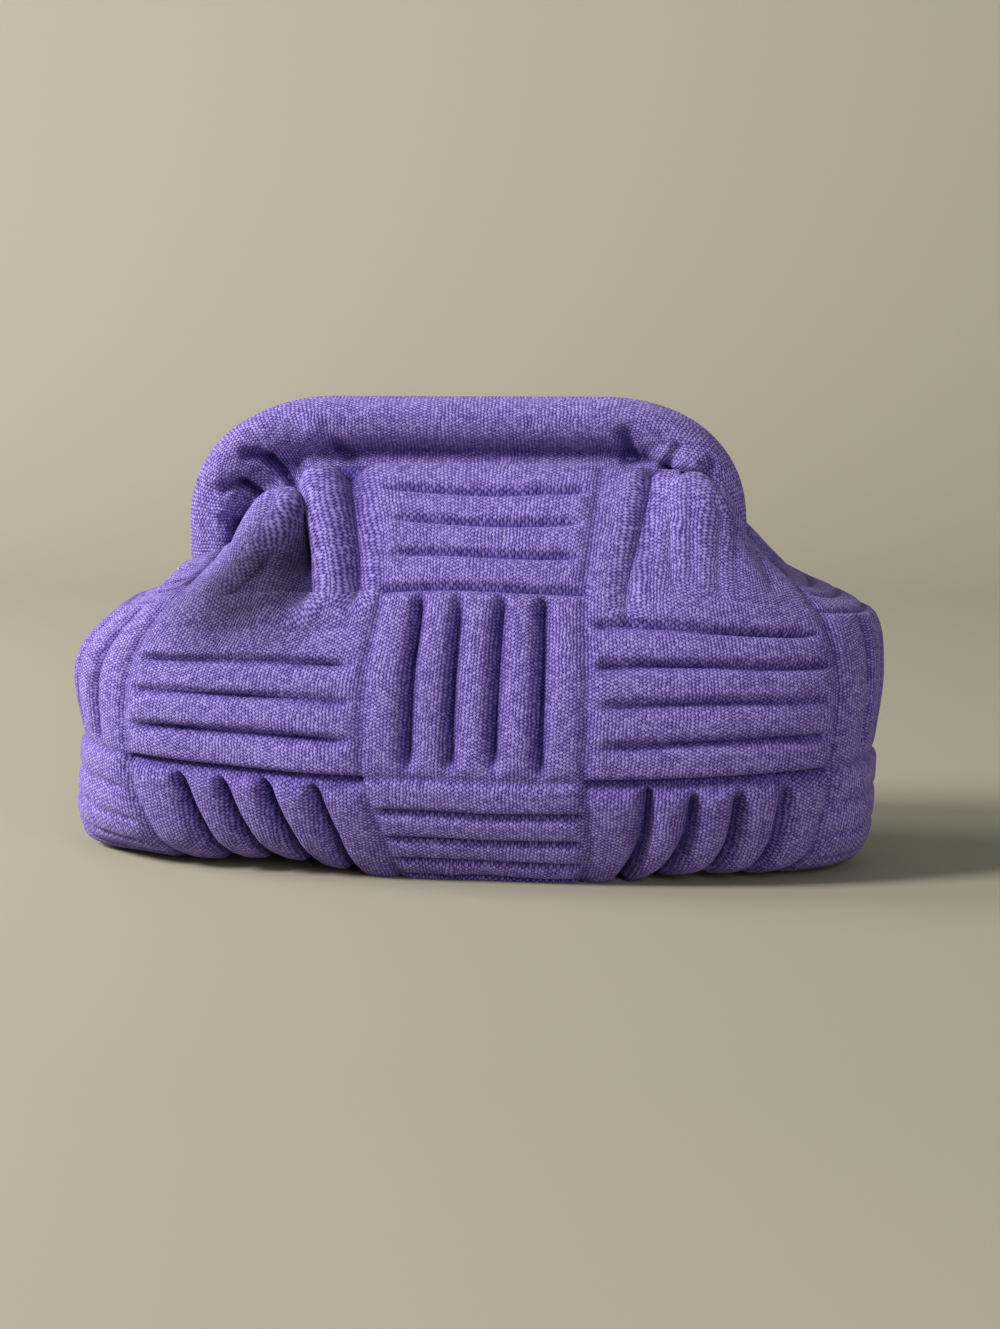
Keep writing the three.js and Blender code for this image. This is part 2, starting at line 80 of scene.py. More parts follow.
# Section of a jaw: inset from its outline, and depth out from the plane where the jaws meet
JAW_SECTION = np.array([
    (0, 10),
    (1.4, 15),
    (5, 18.8),
    (10.5, 20),
    (16.5, 18.2),
    (21, 13),
    (24, 9.8),
    (26.8, 12),
    (SEAM_INSET, SEAM_DEPTH + 0.4),
    (SEAM_INSET + 0.4, SEAM_DEPTH - 0.5 * SLEEVE_THICKNESS),
    (SEAM_INSET - 1, SEAM_DEPTH - SLEEVE_THICKNESS),
    (23, 6),
    (17, 2.4),
    (10, 0.3),
    (3.5, 3.4),
])

# Creases that the gathers press into the sleeves, and swellings between them, where the depth
# is negative: place along the roll from the middle and inset of both ends, reach, and depth
FRONT_CREASES = np.array([
    (-96, 25, -146, 25, 10, -4),
    (-126, 17, -150, 17, 9, -3.5),
    (-66, 14, -74, 28, 9, -2.5),
    (-99, 13, -93, 19, 5, 4.5),
    (-93, 20, -91, 31, 5, 6),
    (-119, 14, -113, 19, 4.5, 4),
    (-113, 20, -116, 29, 5, 5.5),
    (-134, 17, -138, 22, 4, 3.5),
    (-138, 23, -134, 28, 5, 4),
    (-56, 20, -48, 28, 4.5, 3),
    (75, 15, 84, 29, 7, 4),
    (99, 21, 112, 14, 10, -5),
    (101, 13, 103, 25, 4.5, 3),
    (115, 8, 118, 15, 4.5, 3.5),
])
BACK_CREASES = np.array([
    (-126, 12, -117, 24, 6, 5),
    (-98, 14, -92, 30, 6, 4.5),
    (-62, 16, -68, 30, 6, 3.5),
    (72, 15, 79, 30, 6, 4),
    (100, 12, 96, 30, 6, 5),
    (122, 10, 116, 20, 5, 4),
])

# Creases show on the outer face, which starts at this depth and blends in. They fade out towards
# the seam's edge, leave the sleeve at least so deep, and from 5 mm deep on the shade painted in
# them is as dark as it gets
OUTER_FACE_FROM = 7
OUTER_FACE_BLEND = 3
SEAM_EDGE = SEAM_INSET + 0.5
SEAM_FADE = 4
LEAST_DEPTH = 7.6
DARKEST_CREASE = 5

# The painted shade of the valley between the roll and the skirt, the least width of the skirt as a
# share of its full one, and the rounded ends of the legs, which shrink about one point of the section
VALLEY_INSET = 23.5
VALLEY_WIDTH = 3
VALLEY_SHADE = 0.65
LEAST_SKIRT = 0.05
END_ROUNDING = 5
END_INSET = 15
END_DEPTH = 10
SMALLEST_END = 0.3

# How finely the outline, the section and the spans between its knots are divided
OUTLINE_POINTS = 2401
JAW_STATIONS = 420
SECTION_POINTS = 84
SPAN_STEPS = 24


def seam_inset(h):
    """The inset of the seam, straight from row to row of its table."""
    along, left, right = SEAM_LINE.T
    return np.where(h < 0, np.interp(-h, along, left), np.interp(h, along, right))


def jaw_outline(h, inset):
    """Outline of the jaws seen from the front, drawn in by inset: straight along the top while
    h is within 1 of the middle, a squarish oval corner as far as 2, and a straight leg to 3."""
    corner_x = HALF_WIDTH - CORNER_WIDTH
    corner_z = JAW_TOP - CORNER_HEIGHT
    reach = np.abs(h)
    angle = np.clip(reach - 1, 0, 1) * np.pi / 2
    power = 2 / CORNER_SQUARE
    x = np.minimum(reach, 1) * corner_x + (CORNER_WIDTH - inset) * np.sin(angle) ** power
    down_leg = np.clip(reach - 2, 0, 1) * (corner_z - np.where(h < 0, LEFT_LEG_END, RIGHT_LEG_END))
    z = corner_z + (CORNER_HEIGHT - inset) * np.clip(np.cos(angle), 0, 1) ** power - down_leg
    return np.sign(h) * x, z


def by_length(points, shares):
    """Points at the given shares of the length of a line of points."""
    steps = np.linalg.norm(np.diff(points, axis=0), axis=1)
    lengths = np.concatenate([[0], np.cumsum(steps)])
    return np.stack([np.interp(shares * lengths[-1], lengths, p) for p in points.T], axis=-1)


def closed_curve(knots, count):
    """A smooth loop through the knots: on each span a cubic whose slope at a knot is half the
    step between that knot's neighbours. It is spaced evenly by length."""
    t = np.linspace(0, 1, SPAN_STEPS, endpoint=False)[:, None, None]
    ahead = np.roll(knots, -1, axis=0)
    slope = (ahead - np.roll(knots, 1, axis=0)) / 2
    next_slope = np.roll(slope, -1, axis=0)
    curve = knots + t * slope + t**2 * (3 * (ahead - knots) - 2 * slope - next_slope)
    curve = curve + t**3 * (2 * (knots - ahead) + slope + next_slope)
    loop = np.swapaxes(curve, 0, 1).reshape(-1, knots.shape[1])
    return by_length(np.concatenate([loop, loop[:1]]), np.linspace(0, 1, count, endpoint=False))


def knit_mesh(name, rows, upper, lower, painted_shade, painted_shadow, material):
    """A closed piece from rows of points, each row a loop: faces join every row to the next,
    and one face closes each end. upper and lower give the stitch count across and down at the
    upper and lower edge of each strip of faces. The fifth argument gives the shade painted at each
    point, in grooves, creases, valleys and where the knit turns under, and the sixth how far a
    painted shadow darkens it, both from 0 to 1. The faces are turned to point outwards."""
    count, around = rows.shape[:2]
    index = np.arange(count * around).reshape(count, around)
    index = np.concatenate([index, index[:, :1]], axis=1)
    quads = np.stack([index[:-1, :-1], index[1:, :-1], index[1:, 1:], index[:-1, 1:]], axis=-1)
    uv = np.stack([upper[:, :-1], lower[:, :-1], lower[:, 1:], upper[:, 1:]], axis=-2)
    quads = quads.reshape(-1, 4)
    uv = uv.reshape(-1, 4, 2)
    ends = np.stack([index[0, :-1], index[-1, -2::-1]])
    end_uv = np.stack([upper[0, :-1], lower[-1, -2::-1]])
    a, b, c, d = (rows.reshape(-1, 3)[quads[:, k]] for k in range(4))
    if np.sum(a * np.cross(b, c) + a * np.cross(c, d)) < 0:
        quads = quads[:, ::-1]
        uv = uv[:, ::-1]
        ends = ends[:, ::-1]
        end_uv = end_uv[:, ::-1]
    corners = np.concatenate([quads.ravel(), ends.ravel()])
    starts = np.concatenate([np.arange(len(quads)) * 4, quads.size + np.array([0, around])])
    mesh = bpy.data.meshes.new(name)
    mesh.vertices.add(count * around)
    mesh.vertices.foreach_set("co", (rows * MM).astype(np.float32).ravel())
    mesh.loops.add(len(corners))
    mesh.loops.foreach_set("vertex_index", corners.astype(np.int32))
    mesh.polygons.add(len(starts))
    mesh.polygons.foreach_set("loop_start", starts.astype(np.int32))
    stitches = mesh.uv_layers.new(name="stitches")
    stitches.data.foreach_set("uv", np.concatenate([uv.ravel(), end_uv.ravel()]).astype(np.float32))
    for title, values in (("painted_shade", painted_shade), ("painted_shadow", painted_shadow)):
        layer = mesh.attributes.new(name=title, type="FLOAT", domain="POINT")
        layer.data.foreach_set("value", np.broadcast_to(values, rows.shape[:2]).astype(np.float32).ravel())
    mesh.polygons.foreach_set("use_smooth", np.ones(len(starts), bool))
    mesh.update(calc_edges=True)
    mesh.validate()
    mesh.materials.append(material)
    piece = bpy.data.objects.new(name, mesh)
    bpy.context.collection.objects.link(piece)
    return piece


def linear(hex_colour):
    """An sRGB hex colour as linear red, green, blue and an alpha of 1."""
    srgb = np.array([int(hex_colour[k:k + 2], 16) for k in (1, 3, 5)]) / 255
    low = srgb / 12.92
    high = ((srgb + 0.055) / 1.055) ** 2.4
    return (*np.where(srgb <= 0.04045, low, high).tolist(), 1.0)


def node(tree, kind, inputs, **settings):
    """Adds a node with its settings. Inputs are values, or output sockets that are linked."""
    made = tree.nodes.new(kind)
    for key, value in settings.items():
        setattr(made, key, value)
    for key, value in inputs.items():
        if isinstance(value, bpy.types.NodeSocket):
            tree.links.new(value, made.inputs[key])
        else:
            made.inputs[key].default_value = value
    return made


# The yarn: width and height of a stitch, the length over which its rows wander and by how many
# stitches, the size of the patches and of the mottled clouds, and the relief of the loops
WALE_WIDTH = 1.6
COURSE_HEIGHT = 1.45
WANDER_LENGTH = 7.273
WANDER_STITCHES = 1.7
PATCH_SIZE = 22.857
CLOUD_SIZE = 35.714
LOOP_RELIEF = 0.6

# Patches go from the first share of courses to the second as their noise goes from edge to edge.
# A pinhole's depth and the spread of the dye are shares of a loop's height, whose range gives the
# tone from 0 to 1; the tone sets both the bump and the colour, which paints shade into the
# pinholes and a highlight onto the crests. The darkest cloud and the spread of clouds are shares
# of the colour, and so is how far a painted shadow darkens it
PATCH_EDGES = (0.36, 0.64)
COURSE_SHARES = (0.35, 0.9)
HOLE_DEPTH = 0.85
DYE_SPREAD = 0.7
HEIGHT_RANGE = (-0.8, 1.1)
DARKEST_CLOUD = 0.82
CLOUD_SPREAD = 0.36
PAINTED_SHADOW_DARKNESS = 0.78

# Colours of the yarn with the tones at which they lie: the shade painted in pinholes, the yarn,
# and the highlight painted on crests. Then the tint of the shade painted in grooves, creases and
# under the bag, and that of the fuzz
PINHOLE_SHADE_COLOUR = "#281b56"
YARN_COLOUR = "#634f9c"
CREST_HIGHLIGHT_COLOUR = "#9281c2"
GAP_TONE = 0.1
YARN_TONE = 0.55
CREST_TONE = 0.95
PAINTED_SHADE_TINT = "#7c74b6"
SHEEN_COLOUR = "#c3b4e6"


def wool_knit(name):
    """Matt, slightly fuzzy wool yarn in a plain knit. The loops stand out as cords with pinholes
    between them, half out of step from wale to wale; the colour paints shade into the pinholes and
    a highlight onto the crests of the cords. In some patches the wales show more and in others the
    courses, the rows wander, and no two stitches are dyed alike. Shade is painted into grooves,
    creases and the knit that turns under, as a deeper, bluer violet, and painted shadows darken the
    colour in a few patches."""
    material = bpy.data.materials.new(name)
    material.use_nodes = True
    tree = material.node_tree
    tree.nodes.clear()
    place = node(tree, "ShaderNodeUVMap", {}, uv_map="stitches").outputs["UV"]
    drift = node(tree, "ShaderNodeTexNoise",
                 {"Vector": place, "Scale": WALE_WIDTH / WANDER_LENGTH, "Detail": 3.0, "Roughness": 0.65})
    centred = node(tree, "ShaderNodeVectorMath", {0: drift.outputs["Color"], 1: (0.5, 0.5, 0.5)},
                   operation="SUBTRACT")
    shift = node(tree, "ShaderNodeVectorMath", {0: centred.outputs[0], "Scale": WANDER_STITCHES},
                 operation="SCALE")
    wandering = node(tree, "ShaderNodeVectorMath", {0: place, 1: shift.outputs[0]}, operation="ADD")
    parts = node(tree, "ShaderNodeSeparateXYZ", {0: wandering.outputs[0]}).outputs
    number = node(tree, "ShaderNodeMath", {0: parts["X"]}, operation="ROUND")
    course = node(tree, "ShaderNodeMath", {0: number.outputs[0], 1: 0.5, 2: parts["Y"]},
                  operation="MULTIPLY_ADD")
    turn = 2 * np.pi
    wale_angle = node(tree, "ShaderNodeMath", {0: parts["X"], 1: turn}, operation="MULTIPLY")
    course_angle = node(tree, "ShaderNodeMath", {0: course.outputs[0], 1: turn}, operation="MULTIPLY")
    wale_wave = node(tree, "ShaderNodeMath", {0: wale_angle.outputs[0]}, operation="COSINE")
    course_wave = node(tree, "ShaderNodeMath", {0: course_angle.outputs[0]}, operation="COSINE")
    wale = node(tree, "ShaderNodeMath", {0: wale_wave.outputs[0], 1: 0.5, 2: 0.5},
                operation="MULTIPLY_ADD")
    row = node(tree, "ShaderNodeMath", {0: course_wave.outputs[0], 1: 0.5, 2: 0.5},
               operation="MULTIPLY_ADD")
    patch = node(tree, "ShaderNodeTexNoise",
                 {"Vector": place, "Scale": WALE_WIDTH / PATCH_SIZE, "Detail": 2.0})
    patch = node(tree, "ShaderNodeMapRange", {
        "Value": patch.outputs["Fac"],
        "From Min": PATCH_EDGES[0],
        "From Max": PATCH_EDGES[1],
        "To Min": COURSE_SHARES[0],
        "To Max": COURSE_SHARES[1],
    })
    cord = node(tree, "ShaderNodeMix", {0: patch.outputs[0], 2: wale.outputs[0], 3: row.outputs[0]})
    across = node(tree, "ShaderNodeMath", {0: 1.0, 1: wale.outputs[0]}, operation="SUBTRACT")
    between = node(tree, "ShaderNodeMath", {0: 1.0, 1: row.outputs[0]}, operation="SUBTRACT")
    hole = node(tree, "ShaderNodeMath", {0: across.outputs[0], 1: between.outputs[0]}, operation="MULTIPLY")
    height = node(tree, "ShaderNodeMath", {0: hole.outputs[0], 1: -HOLE_DEPTH, 2: cord.outputs[0]},
                  operation="MULTIPLY_ADD")
    cell = node(tree, "ShaderNodeCombineXYZ", {"X": parts["X"], "Y": course.outputs[0]})
    cell = node(tree, "ShaderNodeVectorMath", {0: cell.outputs[0], 1: (0.5, 0.5, 0.0)}, operation="ADD")
    cell = node(tree, "ShaderNodeVectorMath", {0: cell.outputs[0]}, operation="FLOOR")
    dye = node(tree, "ShaderNodeTexWhiteNoise", {"Vector": cell.outputs[0]}, noise_dimensions="2D")
    dye = node(tree, "ShaderNodeMath", {0: dye.outputs["Value"], 1: DYE_SPREAD, 2: -DYE_SPREAD / 2},
               operation="MULTIPLY_ADD")
    height = node(tree, "ShaderNodeMath", {0: height.outputs[0], 1: dye.outputs[0]}, operation="ADD")
    # The tone paints shade into the pinholes and a highlight onto the crests, mixed with each stitch's own
    # dye
    tone = node(tree, "ShaderNodeMapRange",
                {"Value": height.outputs[0], "From Min": HEIGHT_RANGE[0], "From Max": HEIGHT_RANGE[1]})
    ramp = node(tree, "ShaderNodeValToRGB", {0: tone.outputs[0]})
    ramp.color_ramp.elements[0].color = linear(PINHOLE_SHADE_COLOUR)
    ramp.color_ramp.elements[0].position = GAP_TONE
    ramp.color_ramp.elements[1].color = linear(CREST_HIGHLIGHT_COLOUR)
    ramp.color_ramp.elements[1].position = CREST_TONE
    ramp.color_ramp.elements.new(YARN_TONE).color = linear(YARN_COLOUR)
    spot = node(tree, "ShaderNodeTexCoord", {}).outputs["Object"]
    mottle = node(tree, "ShaderNodeTexNoise",
                  {"Vector": spot, "Scale": 1 / (CLOUD_SIZE * MM), "Detail": 3.0})
    mottle = node(tree, "ShaderNodeMath",
                  {0: mottle.outputs["Fac"], 1: CLOUD_SPREAD, 2: DARKEST_CLOUD}, operation="MULTIPLY_ADD")
    # Painted shade: grooves, creases, the valley under a jaw's roll and the knit that turns under are
    # tinted a deeper, bluer violet
    painted_shade = node(tree, "ShaderNodeAttribute", {}, attribute_name="painted_shade").outputs["Fac"]
    # Painted shadow: the colour is darkened by a share where shadows are painted
    painted_shadow = node(tree, "ShaderNodeAttribute", {}, attribute_name="painted_shadow").outputs["Fac"]
    shadow_scale = node(tree, "ShaderNodeMath", {0: painted_shadow, 1: -PAINTED_SHADOW_DARKNESS, 2: 1.0}, operation="MULTIPLY_ADD")
    value = node(tree, "ShaderNodeMath", {0: mottle.outputs[0], 1: shadow_scale.outputs[0]}, operation="MULTIPLY")
    dyed = node(tree, "ShaderNodeVectorMath", {0: ramp.outputs["Color"], "Scale": value.outputs[0]},
                operation="SCALE")
    dyed = node(tree, "ShaderNodeMix", {"Factor": painted_shade, 6: dyed.outputs[0], 7: linear(PAINTED_SHADE_TINT)},
                data_type="RGBA", blend_type="MULTIPLY")
    bump = node(tree, "ShaderNodeBump",
                {"Height": tone.outputs[0], "Strength": 0.7, "Distance": LOOP_RELIEF * MM})
    shader = node(tree, "ShaderNodeBsdfPrincipled", {
        "Base Color": dyed.outputs[2],
        "Normal": bump.outputs[0],
        "Roughness": 0.92,
        "Specular IOR Level": 0.2,
        "Sheen Weight": 0.22,
        "Sheen Roughness": 0.45,
        "Sheen Tint": linear(SHEEN_COLOUR),
    })
    node(tree, "ShaderNodeOutputMaterial", {"Surface": shader.outputs[0]})
    return material


knit = wool_knit("wool_basket_knit")


def make_jaw(name, side, creases):
    """The section carried along the outline from the left leg to the right. A crease hollows the
    outer face by its depth times (1 - d^2)^2, where d is the distance from its line over its
    reach, but fades towards the seam and never goes through to the inner face. Past the roll the
    insets shrink or grow to end at the seam, and the ends of the legs are rounded. Shade is painted
    into the valley under the roll and into the creases."""
    h = np.linspace(-3, 3, OUTLINE_POINTS)
    crest = np.stack(jaw_outline(h, ROLL_RADIUS), axis=-1)
    lengths = np.concatenate([[0], np.cumsum(np.linalg.norm(np.diff(crest, axis=0), axis=1))])
    along = np.linspace(0, lengths[-1], JAW_STATIONS)
    station = np.interp(along, lengths, h)[:, None]
    along = (along - lengths[-1] / 2)[:, None]
    section = closed_curve(JAW_SECTION, SECTION_POINTS)
    inset, depth = section.T
    outer = np.clip((depth - OUTER_FACE_FROM) / OUTER_FACE_BLEND, 0, 1)
    along0, inset0, along1, inset1, reach, deep = (column[:, None, None] for column in creases.T)
    run, drop = along1 - along0, inset1 - inset0
    part = np.clip(((along - along0) * run + (inset - inset0) * drop) / (run**2 + drop**2), 0, 1)
    away = np.hypot(along - along0 - part * run, inset - inset0 - part * drop) / reach
    pressed = (deep * np.clip(1 - away**2, 0, 1) ** 2).sum(axis=0)
    pressed = pressed * np.clip((SEAM_EDGE - inset) / SEAM_FADE, 0, 1)
    pressed = np.minimum(pressed, np.maximum(depth - LEAST_DEPTH, 0))
    # Painted shade along the valley under the roll and in the creases, on the outer face only
    valley = VALLEY_SHADE * np.exp(-((inset - VALLEY_INSET) / VALLEY_WIDTH) ** 2)
    valley = valley * np.clip(1 + pressed / DARKEST_CREASE, 0, 1)
    painted_shade = outer * np.clip(valley + np.maximum(pressed, 0) / DARKEST_CREASE, 0, 1)
    depth = depth - outer * pressed
    to_end = np.abs(along).max() - np.abs(along)
    from_full = 1 - np.clip(to_end / END_ROUNDING, 0, 1)
    shrink = np.sqrt(np.clip(1 - from_full**2, SMALLEST_END**2, 1))
    inset = END_INSET + (inset - END_INSET) * shrink
    depth = END_DEPTH + (depth - END_DEPTH) * shrink
    roll_width = 2 * ROLL_RADIUS
    skirt = np.maximum((seam_inset(station) - roll_width) / (SEAM_INSET - roll_width), LEAST_SKIRT)
    inset = inset - np.maximum(inset - roll_width, 0) * (1 - skirt)
    x, z = jaw_outline(station, inset)
    rows = np.stack(np.broadcast_arrays(FRAME_MIDDLE + x, side * depth, z), axis=-1)
    girth = np.linalg.norm(np.diff(section, axis=0), axis=1).sum()
    courses = np.linspace(0, girth / COURSE_HEIGHT, SECTION_POINTS + 1)
    stitches = np.stack(np.broadcast_arrays(along / WALE_WIDTH, courses), axis=-1)
    jaw = knit_mesh(name, rows, stitches[:-1], stitches[1:], painted_shade, 0, knit)
    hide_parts(name)
    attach(jaw, "root")


make_jaw("front_jaw", -1, FRONT_CREASES)
make_jaw("back_jaw", 1, BACK_CREASES)

# Pouch: one thick knit, worked round as columns of ribbed blocks, gathered at the mouth onto
# the frame's seam and closed by a plain sole. It is soft, so it puffs out over the frame's
# corners, folds there, and settles flat on its sole.
WALL = 3
SEAM_GAP = 0.2
SEAM_CLEARANCE = 0.3
ROLL_CLEARANCE = 0.5
MOUTH_END = 126
LEFT_MOUTH_HEIGHT = 117
RIGHT_MOUTH_HEIGHT = 127
JUST_OFF_MIDDLE = 1e-9

# The knit puffs out from the seam: so much at the middle of a side and at the end of the bag, with
# the power by which that falls or grows on the way, and at each corner so much forward and out,
# where out leans over from upright. The last four are shares of the way to the end: where the
# corner's puff starts, and how long it takes to rise, to fall and to lean over
PUFF_MIDDLE = 15
MIDDLE_POWER = 4
PUFF_END = 5
END_POWER = 6
LEFT_PUFF = (45, 0)
RIGHT_PUFF = (12, 6)
PUFF_LEAN = np.radians(60)
PUFF_STARTS = 0.3
PUFF_RISES = 0.2
PUFF_FALLS = 0.35
LEAN_RISES = 0.27

# How the knit is gathered onto the mouth: share of the way from the middle of a side to the
# end of the bag, then share of the mouth's length there on the left and on the right
GATHER = np.array([
    (0, 0, 0),
    (0.20, 0.27, 0.27),
    (0.365, 0.455, 0.46),
    (0.536, 0.56, 0.64),
    (0.62, 0.65, 0.73),
    (0.80, 0.83, 0.88),
    (1, 1, 1),
])

# Level sections: place on the knit in rows of blocks, reach left, right, front and back,
# squareness, height at the middle, the left end and the right end, the power by which the
# height eases outwards, and twist in degrees
SECTIONS = np.array([
    (1.0, 156, 171, 62, 60, 2.7, 127, 110, 111, 2, -2),
    (1.5, 176, 177, 76, 74, 2.7, 88, 88, 88, 2, -4),
    (2.0, 173, 172, 80, 76, 2.8, 48, 54, 52, 2, -5),
    (2.5, 177, 170, 70, 73, 2.6, 18, 21, 18, 1, -5),
    (3.0, 176, 164, 55, 60, 2.0, -4, 6, 8, 0.45, -6),
])

# How far the edge of the sole is off the floor, by place around from the middle of the front
FOOT_LIFT = np.array([
    (-230, 0),
    (-150, 3.5),
    (-130, 5.3),
    (-95, 6.6),
    (-60, 6),
    (-25, 3.3),
    (10, 1.3),
    (45, 0),
    (80, 0),
    (115, 5),
    (132, 5),
    (150, 3.5),
    (230, 0),
])

# Columns of blocks, from the middle of the front rightwards: width, number of upright ribs and
# width of the first of them. Rows of blocks, from the mouth down: height and number of level ribs
COLUMN_WIDTHS = np.array([100, 112, 103, 113, 96, 117, 135, 114])
COLUMN_RIBS = np.array([5, 5, 5, 5, 5, 5, 7, 5])
FIRST_RIBS = np.array([20, 29, 23, 30, 20, 27, 20, 26])
ROW_HEIGHTS = np.array([68, 88, 58])
LEVEL_RIBS = np.array([4, 5, 5])
GIRTH = COLUMN_WIDTHS.sum()
FOOT = len(ROW_HEIGHTS)

# The pattern leans: place down in rows, then how far it has moved to the right there, within the
# span and elsewhere. The span is faded in from its first place around to its second, and faded
# out from its third to its last
COLUMN_LEAN = np.array([
    (0, 9, 9),
    (1, 10, 10),
    (2, 12.5, 11),
    (2.4, 20, 9),
    (3, 24, 5),
])
LEAN_SPAN = (-300, -240, 40, 100)

# Ribs: their height and its share in each row, how far they wander, and the reach and power by
# which grooves fall off. No two grooves are alike in strength, or in the length over which they
# fade out at their ends, which has its share in each row too
RIB_HEIGHT = 7
ROW_RELIEF = np.array([0.8, 1.05, 1.3])
RIB_WANDER = 0.04
UPRIGHT_DEPTH = 1.2
UPRIGHT_POWER = 3.4
LEVEL_POWER = 4.6
HALF_RIB = 0.5
STEEP_SIDE = 0.34
GROOVE_STRENGTHS = (0.75, 1.05)
FADE_LENGTHS = (9, 25)
FADE_SHARES = np.array([1, 0.8, 0.45])

# Borders of blocks: strength beside upright ribs, under level ribs and over them, the reach and
# power by which they fall off, and the share of a row in which all relief starts at mouth and foot
UPRIGHT_BORDER = 0.3
LEVEL_BORDER = 0.85
PLAIN_BORDER = 0.25
BORDER_REACH = 9
BORDER_POWER = 2.4
RELIEF_STARTS = 0.06

# How strong the ribs are in each block, by row and column, and how strong the border is under the
# first row: by the gathers and at the ends the knit is stretched smooth. One groove, given by
# column, row and number, is pulled almost flat by the fold above it
RIB_STRENGTHS = np.array([
    (1, 0.22, 0.6, 0.22, 1, 0.22, 0.35, 0.22),
    (1, 1, 0.5, 1, 1, 1, 0.55, 1),
    (1, 1, 0.25, 1, 1, 1, 0.3, 1),
])
STRETCHED_BORDER = np.array([1, 0.2, 0.6, 0.2, 1, 0.2, 0.35, 0.2])
FLATTENED_GROOVE = (7, 1, 1)
FLATTENED_STRENGTH = 0.08

# Folds: place around from the middle of the front and down in rows, at the upper end and at
# the lower end, then reach to the left and to the right, and height at the upper and lower end
FOLDS = np.array([
    (-95, 0.14, -130, 1.08, 40, 26, 8, 2),
    (-97, 0.24, -121, 0.90, 7, 7, 2.2, 1.5),
    (-97, 0.16, -95, 0.22, 9, 8, 2, 2),
    (-77, 0.08, -77, 0.94, 26, 8, -13, -8),
    (-65, 0.05, -61, 1.35, 10, 10, 3, 0),
    (-49, 0.06, -53, 0.98, 12, 11, -8, -6.5),
    (-128, 1.00, -86, 0.98, 26, 26, 2, 2),
    (84, 0.05, 79, 1.08, 8, 8, -5, -2),
    (114, 0.25, 128, 1.30, 34, 34, 4, 0),
    (100, 0.50, 101, 0.90, 7, 7, -1, -1),
    (122, 0.30, 123, 0.90, 7, 7, -1.5, -1.5),
    (103, 0.00, 105, 0.16, 6, 6, -4, 0),
    (118, 0.00, 119, 0.18, 6, 6, -4, 0),
    (330, 0.10, 326, 1.30, 34, 34, 4, 0),
    (358, 0.00, 362, 0.90, 9, 9, -6, -1),
    (-332, 0.10, -328, 1.30, 34, 34, 4, 0),
    (-360, 0.00, -365, 0.90, 9, 9, -6, -1),
])

# Shadows painted on the knit, which darken its colour: place around and down, reach around in mm
# and down in rows, and how dark they are painted
PAINTED_SHADOW_SPOTS = np.array([
    (-106, 0.64, 38, 0.56, 0.85),
    (-86, 0.45, 16, 0.50, 0.5),
    (-110, 1.02, 60, 0.50, 1.0),
])

# How far the inner face is drawn in behind the gathers, by place down in rows
DRAWN_IN = np.array([(0, 0), (0.15, 12), (1, 2)])

# Folds start within this share of a row, and nearer than this they count as on their line. Slight
# swells make the rest uneven. From these rows on, the foot is lifted, and shade is painted where the
# knit turns under, as it is painted in grooves and in folds
FOLDS_START = 0.1
ON_THE_LINE = 0.01
SWELL_HEIGHT = 0.8
SWELL_ROW = 70
LIFTS_FROM = 2.4
TURNS_UNDER = 2.5
UNDER_SHADE = 0.6
GROOVE_SHADE_POWER = 0.75
DEEPEST_FOLD = 9

# How finely the pouch is divided, round it and down it, and how flat its sole lies
AROUND = 540
LINE_POINTS = 1601
OUTER_ROWS = 148
INNER_ROWS = 15
SOLE_RINGS = 6
SOLE_SHARES = np.linspace(0.96, 0.04, SOLE_RINGS)[:, None, None]
SOLE_FLATNESS = 4
random = np.random.default_rng(4)
around = np.linspace(0, GIRTH, AROUND, endpoint=False)
place = (around + GIRTH / 2) % GIRTH - GIRTH / 2
turn = around / GIRTH * 4
quarter = np.floor(turn).astype(int)
share = np.where(quarter % 2 == 1, quarter + 1 - turn, turn - quarter)
side_x = np.array([1, 1, -1, -1])[quarter]
side_y = np.array([-1, 1, 1, -1])[quarter]


def mouth_ring():
    """The mouth follows the seam from the middle of a jaw to the end of its leg, in front of
    the roll where it crosses it, then turns in under the hinge. The knit is drawn together
    along it as the table says."""
    h = np.linspace(0, 4, LINE_POINTS)
    bend = np.clip(h - 3, 0, 1) * np.pi / 2
    ring = np.zeros((AROUND, 3))
    middle_to_end, left_drawn, right_drawn = GATHER.T
    halves = ((-1, LEFT_MOUTH_HEIGHT, left_drawn), (1, RIGHT_MOUTH_HEIGHT, right_drawn))
    for side, end_height, drawn in halves:
        station = side * np.clip(h, JUST_OFF_MIDDLE, 3)
        inset = seam_inset(station) + SEAM_GAP
        x, z = jaw_outline(station, inset)
        x = x + (side * MOUTH_END - x) * np.sin(bend)
        z = z + (end_height - z) * np.sqrt(np.sin(bend))
        roll = np.sqrt(np.maximum(ROLL_RADIUS**2 - (inset - ROLL_RADIUS) ** 2, 0))
        depth = np.maximum(SEAM_DEPTH + SEAM_CLEARANCE, ROLL_RADIUS + roll + WALL + ROLL_CLEARANCE)
        line = np.stack([x, depth * np.cos(bend), z], axis=-1)
        half = side_x == side
        ring[half] = by_length(line, np.interp(share[half], middle_to_end, drawn))
    ring[:, 1] *= side_y
    return ring + (FRAME_MIDDLE, 0, 0)


